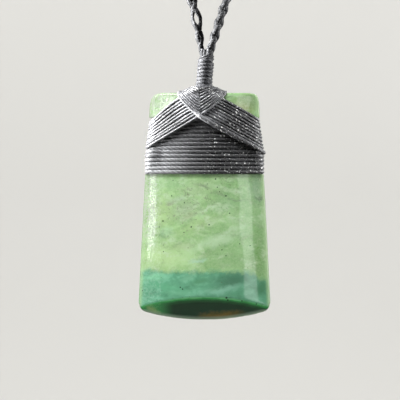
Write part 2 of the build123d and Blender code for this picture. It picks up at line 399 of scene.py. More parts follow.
def within(add, *limits):
    """The product of all limits: each is an output, a number, or a value, where its step starts and where it ends.

    A step goes smoothly from 0 to 1, or between the two numbers that may follow.
    """
    share = 1.0
    for limit in limits:
        if isinstance(limit, tuple):
            value, start, end, *ends = limit
            low, high = ends or (0, 1)
            limit = add("MapRange", {0: value, 1: start, 2: end, 3: low, 4: high}, **SMOOTH)
        share = limit if share == 1.0 else add("Math", {0: share, 1: limit}, operation="MULTIPLY")
    return share


def lay(add, ground, colour, *limits):
    """Lays one colour over another, as strongly as the product of the limits says."""
    return add("Mix", {0: within(add, *limits), 6: ground, 7: colour}, **OVER)


# Patches of the stone, as seen from the front: x and height in mm from the blade's top edge, half length,
# half width, tilt in degrees, colour, strength
BODY_PATCHES = [
    (-9.6, -36.0, 6.5, 3.2, 5, "#B4DC98", 0.75), (-9.4, -26.0, 3.0, 4.0, 0, "#AACD88", 0.5),
    (-7.0, -20.0, 4.2, 1.6, 0, "#8ABD80", 0.6), (-1.5, -20.8, 4.0, 2.0, 15, "#9DBD8C", 0.5),
    (4.6, -24.4, 3.8, 1.8, 10, "#83B37C", 0.6), (4.4, -37.1, 4.8, 1.7, 8, "#80B171", 0.7),
    (-1.5, -29.0, 6.0, 1.4, 20, "#A3C987", 0.5), (11.3, -21.0, 1.8, 3.6, 0, "#7A9C7F", 0.65),
    (11.9, -35.5, 1.8, 6.0, 0, "#6B9E57", 0.85), (-4.3, -25.8, 3.0, 2.2, 25, "#A2B898", 0.55),
    (-6.0, -23.3, 2.2, 0.8, 10, "#AECBAB", 0.6), (-4.5, -33.5, 2.2, 1.0, 10, "#A3B98F", 0.45),
    (2.8, -32.4, 6.0, 1.3, 20, "#B4DBAC", 0.75), (0.4, -25.6, 3.0, 0.45, 27, "#C2E2B8", 0.65),
    (4.8, -21.2, 3.4, 0.5, -8, "#B3D7A8", 0.55), (-1.4, -36.8, 2.0, 0.55, 12, "#A8D9BC", 0.7),
    (5.6, -30.2, 3.0, 0.5, 24, "#BEE0B6", 0.5),
    (-0.2, -20.6, 1.9, 0.4, -22, "#6F8A66", 0.75), (3.6, -22.4, 2.2, 0.35, -14, "#6F8A66", 0.6),
    (6.8, -23.4, 1.6, 0.35, 4, "#6B8766", 0.6), (11.7, -23.0, 1.3, 0.5, 0, "#56755A", 0.85),
    (-7.4, -24.0, 0.9, 0.5, 30, "#93A784", 0.8), (-3.4, -27.2, 2.0, 0.5, 20, "#8FA277", 0.6),
    (8.4, -3.2, 3.4, 1.9, 5, "#7F8F4C", 0.9), (10.0, -1.4, 3.0, 1.8, 0, "#7C9D6A", 0.8),
    (-8.4, -30.6, 1.6, 1.2, 0, "#ABD9B0", 0.4),
]
BAND_PATCHES = [
    (-11.5, -40.6, 3.6, 0.9, 3, "#86CBA3", 0.8), (-9.5, -42.4, 4.4, 0.9, -4, "#5FA882", 0.75),
    (-1.0, -41.4, 2.3, 1.0, 5, "#528D69", 0.75), (6.0, -41.2, 4.2, 1.8, 8, "#41715A", 0.9),
    (3.6, -43.2, 4.6, 0.8, 9, "#82B69E", 0.75), (-3.4, -40.4, 2.0, 0.6, 30, "#7FB696", 0.5),
    (12.6, -42.6, 1.4, 1.6, 0, "#3C714E", 0.8), (-5.5, -43.6, 3.0, 0.6, 0, "#74B491", 0.5),
]
BEVEL_PATCHES = [(3.6, -49.3, 5.2, 1.2, 4, "#B8943F", 0.9), (-11.4, -47.8, 1.5, 0.9, -35, "#C6E89A", 0.85)]
# Black specks: x, height and radius in mm
SPECKS = [
    (2.4, -18.9, 0.17), (2.8, -20.7, 0.13), (3.3, -21.7, 0.12), (4.7, -22.6, 0.17), (5.5, -26.4, 0.14),
    (1.0, -28.9, 0.16), (-2.9, -29.4, 0.16), (-9.1, -28.1, 0.17), (-9.9, -29.4, 0.13), (-4.4, -24.1, 0.13),
    (-7.2, -22.6, 0.13), (-11.2, -25.2, 0.12), (3.8, -34.4, 0.14), (4.7, -35.7, 0.13), (7.7, -33.1, 0.12),
    (10.0, -33.5, 0.12), (-9.0, -34.8, 0.12), (-4.5, -30.6, 0.12), (-5.3, -42.6, 0.16), (-4.8, -43.0, 0.15),
    (4.8, -44.9, 0.24), (5.1, -45.4, 0.19), (8.2, -45.6, 0.16), (11.4, -46.3, 0.15), (-13.6, -43.4, 0.16),
    (-1.9, -48.4, 0.14), (-4.5, -47.9, 0.14), (-8.0, -31.4, 0.1), (0.6, -20.0, 0.1), (-6.9, -19.2, 0.1),
]
# Patches and specks, in mm: the y of their middles, and how far they reach into the stone from there
PATCH_MIDDLE = -2.5
PATCH_REACH = 9.0
SPECK_REACH = 2.6


def distance_from(add, place, middle, sizes, turn=0.0):
    """Distance of a place from the middle of an oval patch, 1 at the patch's edge."""
    sockets = {"Vector": place, "Location": middle, "Rotation": (0, turn, 0), "Scale": sizes}
    moved = add("Mapping", sockets, vector_type="TEXTURE")
    return add("VectorMath", {0: moved}, "Value", operation="LENGTH")


def patches(add, place, colour, table):
    """Lays soft-edged patches over a colour; they run through the stone and fade towards its back."""
    for x, z, long, short, tilt, shade, strength in table:
        far = distance_from(add, place, (x, PATCH_MIDDLE, z), (long, PATCH_REACH, short), -math.radians(tilt))
        colour = lay(add, colour, shade, (far, 1.5, 0.1, 0, strength))
    return colour


def polished_nephrite(tint):
    """Nephrite, ground and polished.

    It gives the eye a pale cloudy green with a teal band, fine dark specks and a clear gloss, worn dull in places.
    Painted shade: the deep green inside the bevel and the deeper green to the right; painted light: the pale rims,
    the bright bevel rim and cutting edge, and whitish flecks towards the left edge.
    """
    material, add = new_material("polished_nephrite")
    # Places in mm, with heights from the blade's top edge, so a noise's scale is about one over its grain in mm
    metres = add("TexCoord", {}, "Object")
    mm = add("Mapping", {"Vector": metres, "Location": (0, 0, -BLADE_TOP), "Scale": (1 / MM, 1 / MM, 1 / MM)})
    x, z = (add("SeparateXYZ", {0: mm}, axis) for axis in "XZ")
    drift = add("Mapping", {"Vector": mm, "Rotation": (0, math.radians(28), 0), "Scale": (0.75, 0.9, 1.25)})
    grain = {}
    for name, place, scale, detail, roughness, distortion in (
        ("cloud", drift, 0.24, 6, 0.62, 0.3),
        ("milk", drift, 0.36, 7, 0.62, 0.4),
        ("shade", drift, 0.42, 6, 0.64, 0.3),
        ("vein", drift, 0.40, 5, 0.6, 0.6),
        ("vein_patch", mm, 0.25, 2, 0.5, 0),
        ("fleck", mm, 1.5, 3, 0.6, 0),
        ("sugar", mm, 2.6, 4, 0.7, 0),
        ("band_edge", mm, 0.17, 5, 0.6, 0.2),
        ("band_rags", mm, 0.7, 5, 0.7, 0),
        ("band_cloud", drift, 0.6, 6, 0.62, 0.4),
        ("bevel_cloud", mm, 0.5, 4, 0.6, 0),
        ("pits", mm, 2.2, 5, 0.75, 0),
        ("ripple", mm, 1.3, 3, 0.5, 0),
        ("scratch", mm, 4.5, 2, 0.6, 0),
    ):
        grain[name] = add(
            "TexNoise",
            {"Vector": place, "Scale": scale, "Detail": detail, "Roughness": roughness, "Distortion": distortion},
        )

    # Places bent by up to 1.7 mm, so that no patch is an even oval
    wander = add("TexNoise", {"Vector": mm, "Scale": 0.3, "Detail": 7, "Roughness": 0.66}, "Color")
    bend = add("VectorMath", {0: wander, 1: (3.4, 3.4, 3.4), 2: (-1.7, -1.7, -1.7)}, operation="MULTIPLY_ADD")
    bent = add("VectorMath", {0: mm, 1: bend}, operation="ADD")

    # Cloud: pale yellowish green with milky drifts that rise to the right; it is made deeper green towards the right
    # as painted shade
    stops = [(0.32, "#76A566"), (0.45, "#93C47F"), (0.58, "#ABDA97"), (0.70, "#BBE0AC")]
    body = add("ValToRGB", {0: grain["cloud"]}, stops=stops)
    body = lay(add, body, "#7FB374", (x, -10, 13, 0, 0.65))
    body = patches(add, bent, body, BODY_PATCHES)
    body = lay(add, body, "#C4E2B9", (grain["milk"], 0.50, 0.68, 0, 0.5))
    body = lay(add, body, "#7FA371", (grain["shade"], 0.50, 0.70, 0, 0.5))

    # Veins: thin grey-brown lines where a bent noise crosses its middle value, in the upper part
    off_line = add("Math", {0: grain["vein"], 1: 0.5}, operation="SUBTRACT")
    off_line = add("Math", {0: off_line}, operation="ABSOLUTE")
    upper = ((z, -30, -22), (x, -9, 0, 0.35, 1))
    body = lay(add, body, "#66745A", (off_line, 0.003, 0.018, 0.75, 0), (grain["vein_patch"], 0.42, 0.58), *upper)

    # Flecks: grey-brown, 0.3 to 0.6 mm, thickest left of the middle
    far = distance_from(add, bent, (-4.6, PATCH_MIDDLE, -26.5), (6.5, PATCH_REACH, 5.0), -0.5)
    body = lay(add, body, "#7F8E6E", (grain["fleck"], 0.57, 0.66), (far, 1.3, 0.3, 0.14, 0.8))
    body = lay(add, body, "#BFD9AE", (grain["sugar"], 0.35, 0.65, 0, 0.22))
    body = add("Mix", {0: 1.0, 6: body, 7: tint}, blend_type="MULTIPLY", **OVER)

    # Teal band above the bevel, its upper edge wavy and lower at the far right; the waves raise it by 3 mm on average
    height = add("Math", {0: grain["band_edge"], 1: 3.6, 2: z}, operation="MULTIPLY_ADD")
    height = add("Math", {0: grain["band_rags"], 1: 2.4, 2: height}, operation="MULTIPLY_ADD")
    height = add("Math", {0: height, 1: within(add, (x, 9, 12, 0, 1.7))}, operation="ADD")
    stops = [(0.30, "#4D8A6B"), (0.48, "#5E9F7F"), (0.62, "#6FB191"), (0.74, "#84BEA1")]
    teal = add("ValToRGB", {0: grain["band_cloud"]}, stops=stops)
    # painted shade: the teal band darker towards the right
    teal = lay(add, teal, "#4F8467", (x, -9, 9, 0, 0.4))
    teal = patches(add, bent, teal, BAND_PATCHES)
    body = lay(add, body, teal, (height, -35.4, -36.9, 0, 0.94))

    # Rims: painted highlight, the thin edges made paler as if light came through them
    rim, facet, depth, cut_edge = (
        add("Attribute", {}, "Fac", attribute_name=name) for name in ("rim", "facet", "facet_depth", "cut_edge")
    )
    body = lay(add, body, "#B9D8A6", rim, 0.6)

    # Bevel, painted light and shade: bright green near its rim, as if light came through there, and nearly black
    # green 2 mm further in, a painted shade where no light reaches it from below
    depth = add("Math", {0: grain["bevel_cloud"], 1: 0.6, 2: depth}, operation="MULTIPLY_ADD")
    depth = add("Math", {0: depth, 1: 0.25, 2: -0.075}, operation="MULTIPLY_ADD")
    stops = [(0.0, "#8CF0A0"), (0.10, "#4CC468"), (0.24, "#2A7A40"), (0.46, "#19522D")]
    inside = add("ValToRGB", {0: depth}, stops=stops)
    inside = lay(add, inside, "#62D67C", (x, -6.5, -11.0, 0, 0.9))
    inside = patches(add, bent, inside, BEVEL_PATCHES)
    # painted highlight: the bevel paler along the cutting edge
    inside = lay(add, inside, "#C4E0C4", (cut_edge, 1.6, 0.3, 0, 0.9))
    body = lay(add, body, inside, facet)

    # Specks of black mineral, 0.2 to 0.5 mm, and finer brownish ones about 1.1 mm apart
    nearest = 10.0
    for speck_x, speck_z, radius in SPECKS:
        far = distance_from(add, mm, (speck_x, PATCH_MIDDLE, speck_z), (radius, SPECK_REACH, radius))
        nearest = add("Math", {0: nearest, 1: far}, operation="MINIMUM")
    fine = add("TexVoronoi", {"Vector": mm, "Scale": 0.9}, "Distance", feature="F1")
    chosen = add("SeparateColor", {0: fine.node.outputs["Color"]}, 1)
    fine = add("Math", {0: fine, 1: within(add, (chosen, 0.7, 1.0, 0, 0.14))}, operation="SUBTRACT")
    body = lay(add, body, "#56603F", (fine, 0.03, -0.03, 0, 0.4))
    body = lay(add, body, "#1A2A20", (nearest, 1.3, 0.7, 0, 0.9))

    # Polish: clean on the face, and broken by fine pits towards the left edge and on the tang; the whitish flecks
    # there are a painted highlight
    tang = (z, -7, -5)
    worn = add("Math", {0: within(add, (x, -8.5, -10.5)), 1: within(add, tang, (x, 0, -4))}, operation="MAXIMUM")
    pitted = within(add, (grain["pits"], 0.46, 0.54), worn)
    left_edge = within(add, (x, -9.6, -11.2), (z, -36, -28))
    painted_highlight_flecks = add("Math", {0: left_edge, 1: within(add, tang)}, operation="MAXIMUM")
    # painted highlight: whitish flecks in the pits towards the left edge and on the tang
    body = lay(add, body, "#C3C8BE", pitted, painted_highlight_flecks, 0.7)
    skin = add("Math", {0: grain["scratch"], 1: within(add, worn, 0.7), 2: grain["ripple"]}, operation="MULTIPLY_ADD")
    skin = add("Bump", {"Height": skin, "Strength": 0.5, "Distance": 0.01 * MM})
    shader = add("BsdfPrincipled", {
        "Base Color": body, "Roughness": within(add, (pitted, 0, 1, 0.05, 0.45)), "Normal": skin, "IOR": 1.56,
        "Subsurface Weight": 0.35, "Subsurface Radius": (1.0, 1.0, 0.8), "Subsurface Scale": 1.2 * MM,
    })
    add("OutputMaterial", {"Surface": shader})
    return material


# Plies seen round a thread, and how far its fibres stand out beside them
PLIES = 4
FUZZ = 1.6


def plied_thread(name, light, dark, roughness, shine, ply_length, crumbs_and_glints, painted_light_and_shade):
    """Waxed polyester thread, plied and twisted: dark and nearly matt, with a faint shine and pale wax crumbs that
    are also painted glints; on the lashing, painted light and shade as well.
    """
    material, add = new_material(name)
    uv = add("UVMap", {}, uv_map="thread")
    turn = add("VectorMath", {0: uv, 1: (math.pi / ply_length, math.pi * PLIES, 0)}, "Value", operation="DOT_PRODUCT")
    ply = add("Math", {0: add("Math", {0: turn}, operation="SINE")}, operation="ABSOLUTE")
    place = add("TexCoord", {}, "Object")
    x, z = (add("SeparateXYZ", {0: place}, axis) for axis in "XZ")
    # Fibres drawn coarser than the real 0.03 mm ones, and wax rubbed off unevenly, so that the shine looks grainy
    fibre, wax, crumb_and_glint = (
        add("TexNoise", {"Vector": place, "Scale": scale / MM, "Detail": detail, "Roughness": rough})
        for scale, detail, rough in ((4.6, 3, 0.7), (2.6, 3, 0.7), (2.4, 2, 0.6))
    )
    tone = add("Math", {0: ply, 1: 0.35, 2: fibre}, operation="MULTIPLY_ADD")
    colour = add("ValToRGB", {0: tone}, stops=[(0.45, dark), (1.0, light)])
    if painted_light_and_shade:
        # Painted shade: the thread's black is deeper from the middle to the right; painted light: it is paler where
        # the straps heap up
        colour = lay(add, colour, dark, (x, -9 * MM, -1 * MM, 0, 0.5))
        beside = add("Math", {0: x, 1: CROSS_X * MM}, operation="SUBTRACT")
        beside = add("Math", {0: beside}, operation="ABSOLUTE")
        above = (z, (BLADE_TOP - 7.5) * MM, (BLADE_TOP - 5.5) * MM)
        below = (z, (BLADE_TOP + 0.6) * MM, (BLADE_TOP - 1.4) * MM, 0, 0.42)
        colour = lay(add, colour, "#66676A", (beside, 6.2 * MM, 4.2 * MM), above, below)
    # Crumbs of wax, about 0.2 mm, lie mostly right of the middle; they also stand in for glints, a painted highlight
    colour = lay(add, colour, "#BFC0BE", (crumb_and_glint, 0.62, 0.67, 0, crumbs_and_glints), (x, -2 * MM, 4 * MM, 0.12, 1))
    # Where the thread is drawn hard round the stone's left edge its wax has worn off, so it is rougher there; its
    # colour is also darkened there as painted shade that dims the highlight
    rubbed_and_shaded = within(add, (x, -10.8 * MM, -13.2 * MM))
    colour = lay(add, colour, dark, rubbed_and_shaded, 0.62)
    rough = within(add, (wax, 0.38, 0.64, roughness - 0.2, roughness + 0.2))
    rough = add("Math", {0: rubbed_and_shaded, 1: 0.2, 2: rough}, operation="MULTIPLY_ADD", use_clamp=True)
    height = add("Math", {0: fibre, 1: FUZZ, 2: ply}, operation="MULTIPLY_ADD")
    bump = add("Bump", {"Height": height, "Strength": 0.65, "Distance": 0.06 * MM})
    shader = add("BsdfPrincipled", {
        "Base Color": colour, "Roughness": rough, "Normal": bump, "IOR": 1.5, "Specular IOR Level": shine,
    })
    add("OutputMaterial", {"Surface": shader})
    return material


def painted_plaster():
    """Pale painted plaster of the studio's floor and wall: matt, with no pattern of its own."""
    material, add = new_material("painted_plaster")
    shade = add("TexNoise", {"Vector": add("TexCoord", {}, "Object"), "Scale": 1.2, "Detail": 2, "Roughness": 0.5})
    colour = add("ValToRGB", {0: shade}, stops=[(0.3, "#D3D2CE"), (0.7, "#DAD9D6")])
    add("OutputMaterial", {"Surface": add("BsdfPrincipled", {"Base Color": colour, "Roughness": 0.9})})
    return material


MATERIALS = {}
LIT = {"threads": [], "stone": []}


def finish_piece(piece, material, slot, *nodes):
    """Gives a piece its material and its body, hides the solids that it stands for, and by its slot lists it for the
    stone's lamps or the thread's lamps.
    """
    piece.data.materials.clear()
    piece.data.materials.append(material)
    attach(piece, "root")
    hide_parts(*nodes)
    LIT["stone" if slot == "polished_nephrite" else "threads"].append(piece)


def material_of(name, make, *values):
    if name not in MATERIALS:
        MATERIALS[name] = make(*values)
    return MATERIALS[name]


# Each thread's finish: material, deepest colour, roughness, shine, length of a ply in mm, crumbs of wax and painted
# glints, and whether painted light and shade are laid over it
THREAD_FINISHES = {
    "lashing": ("waxed_lashing_thread", "#0B0B0D", 0.63, 0.48, 1.1, 0.9, True),
    "neck": ("worn_neck_thread", "#0A0A0C", 0.66, 0.19, 0.8, 0.2, False),
    "plait": ("waxed_plait_cord", "#0A0A0B", 0.64, 0.17, 0.9, 0.1, False),
}


def thread_material(kind):
    name, *finish = THREAD_FINISHES[kind]
    light = getattr(bpy.context.scene.pendant_colours, kind)
    return material_of(name, plied_thread, name, light, *finish)


# ---------------------------------------------------------------- sizes that a user may change


class PendantThreads(bpy.types.PropertyGroup):
    level_turns: bpy.props.IntProperty(
        name="Level turns", description="Turns of thread round the blade", default=14, min=1,
    )
    level_width: bpy.props.FloatProperty(
        name="Level width", description="Distance from one level turn to the next",
        default=0.88 * MM, precision=5, unit="LENGTH",
    )
    strap_width: bpy.props.FloatProperty(
        name="Strap width", description="Width of a crossed strap's thread",
        default=0.7 * MM, precision=5, unit="LENGTH",
    )
    strap_rise: bpy.props.FloatProperty(
        name="Strap rise", description="Thickness of a crossed strap's thread",
        default=0.62 * MM, precision=5, unit="LENGTH",
    )
    left_count: bpy.props.IntProperty(
        name="Left strap threads", description="Threads of the strap from the left notch", default=9, min=2,
    )
    right_count: bpy.props.IntProperty(
        name="Right strap threads", description="Threads of the strap from the right notch", default=10, min=2,
    )


class PendantPlait(bpy.types.PropertyGroup):
    strand_width: bpy.props.FloatProperty(
        name="Cord width", description="Width of one of the plait's four cords",
        default=1.26 * MM, precision=5, unit="LENGTH",
    )
    lay: bpy.props.FloatProperty(
        name="Lay", description="Length in which a cord goes once round the plait",
        default=6.0 * MM, precision=5, unit="LENGTH",
    )


class PendantColours(bpy.types.PropertyGroup):
    stone: bpy.props.FloatVectorProperty(
        name="Stone tint", description="Colour that the stone's greens are multiplied by",
        subtype="COLOR", size=4, default=linear("#FFF4FF"), min=0, max=1,
    )
    lashing: bpy.props.FloatVectorProperty(
        name="Lashing thread", description="Colour of the lashing's thread on top of its plies",
        subtype="COLOR", size=4, default=linear("#3D3E41"), min=0, max=1,
    )
    # painted shade: the neck's thread is the lashing's binding thread painted darker
    neck: bpy.props.FloatVectorProperty(
        name="Neck thread", description="Colour of the neck's thread on top of its plies",
        subtype="COLOR", size=4, default=linear("#2E2F32"), min=0, max=1,
    )
    plait: bpy.props.FloatVectorProperty(
        name="Plait cord", description="Colour of the plait's cords on top of their plies",
        subtype="COLOR", size=4, default=linear("#28292B"), min=0, max=1,
    )


class PENDANT_OT_stone(bpy.types.Operator):
    """Ground and polished stone blade"""

    bl_idname = "pendant.stone"
    bl_label = "Stone blade"

    def execute(self, context):
        stone = link_new("polished_blade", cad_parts["toki_blade"].data.copy())
        stone.data.materials.clear()
        edit_whole(stone, bpy.ops.mesh.remove_doubles, threshold=MERGE * MM)
        remesh = stone.modifiers.new("remesh", "REMESH")
        remesh.mode = "VOXEL"
        remesh.voxel_size = GRAIN * MM
        bpy.ops.object.modifier_apply(modifier="remesh")
        stone.select_set(False)
        count = len(stone.data.vertices)
        if count < FEWEST_POINTS:
            raise RuntimeError("the blade's mesh didn't close, so it can't be ground")

        # ground: each point is moved along the form's slope until it lies on the finished surface
        flat = np.zeros(count * 3, np.float32)
        stone.data.vertices.foreach_get("co", flat)
        p = flat.reshape(-1, 3).astype(float) / MM
        for _ in range(8):
            out, size = slope(stone_gap, p)
            p -= out * np.clip(stone_gap(p) / np.maximum(size, 0.3), -0.3, 0.3)[:, None]
        stone.data.vertices.foreach_set("co", (p * MM).astype(np.float32).ravel())

        # what the material needs to know: the bevel, depths behind its rims in mm, and the thin rims that it paints
        # paler as a painted highlight
        below_face = -face_gap(p)
        edge = soft_table(BLADE_TOP - p[:, 2], HALF_WIDTH) - np.abs(p[:, 0])
        for name, values in {
            "facet": np.clip((bevel_gap(p) + 0.16) / 0.14, 0, 1),
            "facet_depth": np.where(p[:, 1] < 0, below_face, 4.0),
            "cut_edge": np.where(p[:, 1] > 0, below_face, 4.0),
            "rim": 1 - blend_step(edge, 0.25, 1.1),
        }.items():
            stone.data.attributes.new(name, "FLOAT", "POINT").data.foreach_set("value", values.astype(np.float32))
        stone.data.update()
        stone.data.polygons.foreach_set("use_smooth", [True] * len(stone.data.polygons))
        polish = material_of("polished_nephrite", polished_nephrite, context.scene.pendant_colours.stone)
        finish_piece(stone, polish, "polished_nephrite", "toki_blade")
        return {"FINISHED"}


class PENDANT_OT_level_turns(bpy.types.Operator):
    """Level turns of thread round the blade"""

    bl_idname = "pendant.level_turns"
    bl_label = "Level turns"

    def execute(self, context):
        threads = context.scene.pendant_threads
        rng = np.random.default_rng(11)
        pitch = threads.level_width / MM
        first_down = LAST_TURN - (threads.level_turns - 0.5) * pitch
        loops = []
        for k in range(threads.level_turns):
            down = first_down + k * pitch + rng.normal(0, 0.02)
            tilt = rng.normal(0, 0.0022)
            phase = rng.uniform(0, 6.28)

            def place(share, angle, down=down, tilt=tilt, phase=phase):
                x, y = 16 * share * np.cos(angle), 6 * share * np.sin(angle)
                wander = 0.035 * np.sin(2 * angle + phase) + tilt * x
                return np.stack([x, y, BLADE_TOP - down + wander], 1)

            def lift(p):
                # at the sides the last turns lie over the straps' ends, so the bundle's edge runs straight down
                down = BLADE_TOP - p[:, 2]
                seat = THREAD_SEAT + TURN_RISE / 2
                edge = np.maximum(SIDE_LINE - TURN_RISE / 2 - notch_floor(down), seat)
                over = blend_step(np.abs(p[:, 0]), 9.0, 12.0) * blend_step(down, 12.2, 13.2)
                return seat + (edge - seat) * over

            line = even_points(drawn_loop(place, lift, bound_gap), 0.34, closed=True)
            loops.append((line, slope(bound_gap, line)[0], pitch * TURN_PRESS, TURN_RISE, True))
        turns = thread_object("level_turns", loops)
        finish_piece(turns, thread_material("lashing"), "binding_thread", "band_whipping")
        return {"FINISHED"}


def strap_lines(inner, outer, count, rng):
    """Front views of a strap's threads, spread evenly between its two outermost ones."""
    inner, outer = np.array(inner), np.array(outer)
    lines = []
    for k in range(count):
        share = k / (count - 1)
        line = inner + (outer - inner) * share
        line[1:3] += rng.normal(0, 0.055, (2, 2))
        line[3:7] += rng.normal(0, 0.03, (4, 2))
        lines.append(smooth_line(line))
    return lines


def strap_loop(line, lift, spacing=0.3):
    """A closed thread whose front and back follow one line of the front view."""
    run, length = along(line)
    middle = length * 0.48

    def place(share, angle):
        t = middle + share * np.cos(angle) * length * 0.6
        x = np.interp(t, run, line[:, 0])
        z = np.interp(t, run, line[:, 1])
        return np.stack([x, share * np.sin(angle) * 8, BLADE_TOP + z], 1)

    return even_points(drawn_loop(place, lift, crown_gap, 1400), spacing, closed=True)


def pressed(down):
    """Share of a thread's thickness that is left where it is drawn hard over the top edge."""
    return 0.7 + 0.3 * blend_step(down, -0.2, 1.4)


class PENDANT_OT_straps(bpy.types.Operator):
    """Crossed straps of thread over the front, the top edge and the back"""

    bl_idname = "pendant.straps"
    bl_label = "Crossed straps"

    def execute(self, context):
        threads = context.scene.pendant_threads
        width, rise = threads.strap_width / MM, threads.strap_rise / MM
        rng = np.random.default_rng(5)
        straps = {
            "left": (strap_lines(LEFT_INNER, LEFT_OUTER, threads.left_count, rng), 1, RIGHT_INNER),
            "right": (strap_lines(RIGHT_INNER, RIGHT_OUTER, threads.right_count, rng), -1, LEFT_INNER),
        }
        for hand, (lines, way, other) in straps.items():
            limit = np.array(sorted(other[1:5]))
            loops = []
            for k, line in enumerate(lines):
                last = hand == "right" and k == len(lines) - 1
                low = hand == "left" and k >= len(lines) - 2

                def lift(p, way=way, limit=limit, k=k, last=last, low=low):
                    x, down = p[:, 0], BLADE_TOP - p[:, 2]
                    over_turns = OVER_TURNS * blend_step(down, 3.4, 6.0)
                    # past the crossing a thread lies on top of the other strap, as far as that strap reaches
                    past = way * (x - CROSS_X)
                    on_top = blend_step(past, 0.0, 0.6) if low else blend_step(past, -0.8, 0.2)
                    if last:
                        on_top = 0.45 + 0.55 * blend_step(past, -5.5, -1.8) + 0.35 * np.exp(-((past / 0.8) ** 2))
                    on_top = on_top * blend_step(np.interp(x, limit[:, 0], limit[:, 1]) + 0.75 + down, -0.2, 0.7)
                    # every other thread rides a little higher over the top edge
                    piled = PILED * ((k + 1) % 2) * (1 - blend_step(down, -0.6, 0.4))
                    piled = piled * (1 - blend_step(np.abs(x), 2.4, 3.6))
                    # the crossed threads heap up over the middle of the front and back
                    heap = HEAP * np.maximum(0, 1 - ((x - CROSS_X) / HEAP_WIDE) ** 2)
                    heap = heap * blend_step(down, -0.4, 1.4) * (1 - blend_step(down, 3.2, 5.6))
                    seat = THREAD_SEAT + rise * pressed(down) / 2
                    return seat + over_turns + OVER_STRAP * on_top + piled + heap

                loop = strap_loop(line, lift)
                down = BLADE_TOP - loop[:, 2]
                # threads are drawn narrower where they bunch up over the crown
                bunched = blend_step(way * (loop[:, 0] - CROSS_X), -0.6, 0.4) * (1 - blend_step(down, 3.6, 5.6))
                wide = width * (1 - BUNCHED * bunched) * (LAST_WIDE if last else 1)
                loops.append((loop, slope(crown_gap, loop)[0], wide, rise * pressed(down), True))
            strap = thread_object(f"strap_threads_{hand}", loops)
            finish_piece(strap, thread_material("lashing"), "binding_thread", "cross_lashing")
        return {"FINISHED"}


class PENDANT_OT_neck(bpy.types.Operator):
    """Close turns of thread round the cord ends"""

    bl_idname = "pendant.neck"
    bl_label = "Neck turns"

    def execute(self, context):
        axis = np.array([math.sin(NECK_LEAN), 0, math.cos(NECK_LEAN)])
        right = np.array([math.cos(NECK_LEAN), 0, -math.sin(NECK_LEAN)])
        back = np.array([0.0, 1.0, 0.0])
        foot = np.array([-0.1, 0, BLADE_TOP + 1.75])
        angle = np.linspace(0, 2 * math.pi * NECK_TURNS, int(NECK_TURNS * 44))
        climb = angle / (2 * math.pi) * NECK_PITCH - 0.95
        climb += 0.05 * np.sin(angle + 0.6) * np.sin(0.23 * angle) + 0.03 * np.sin(0.51 * angle + 1)
        radius = np.interp(climb, NECK_HEIGHTS, NECK_RADII)
        outward = np.cos(angle - 1.2)[:, None] * right + np.sin(angle - 1.2)[:, None] * back
        line = foot + climb[:, None] * axis + radius[:, None] * outward
        threads = [(line, outward, *NECK_THREAD, False)]
        # flat turns on the crown round the neck's foot
        angle = np.linspace(0, 2 * math.pi * 2.6, 200)
        away = 1.9 + 0.56 * angle / (2 * math.pi)
        flat = np.stack([foot[0] + 0.15 + away * 1.12 * np.cos(angle), away * 0.82 * np.sin(angle), 0 * angle], 1)
        low, high = np.full(len(angle), BLADE_TOP - 2.5), np.full(len(angle), BLADE_TOP + 3.0)
        for _ in range(24):
            flat[:, 2] = (low + high) / 2
            inside = crown_gap(flat) < 0.3
            low, high = np.where(inside, flat[:, 2], low), np.where(inside, high, flat[:, 2])
        threads.append((flat, slope(crown_gap, flat)[0], 0.62, 0.5, False))
        neck = thread_object("neck_turns", threads)
        finish_piece(neck, thread_material("neck"), "binding_thread", "neck_whipping")
        return {"FINISHED"}


def route_points():
    """The plait's middle line, read evenly from a NURBS spline."""
    route = LEFT_END + PLAIT_ROUTE + RIGHT_END
    curve = bpy.data.curves.new("plait_route", "CURVE")
    curve.dimensions = "3D"
    curve.resolution_u = 48
    spline = curve.splines.new("NURBS")
    spline.points.add(len(route) - 1)
    for point, place in zip(spline.points, route):
        point.co = (*[c * MM for c in place], 1)
    spline.order_u = 3
    spline.use_endpoint_u = True
    guide = link_new("plait_route", curve)
    bpy.context.view_layer.update()
    mesh = bpy.data.meshes.new_from_object(guide)
    points = np.array([v.co for v in mesh.vertices]) / MM
    bpy.data.objects.remove(guide)
    bpy.data.curves.remove(curve)
    bpy.data.meshes.remove(mesh)
    return points


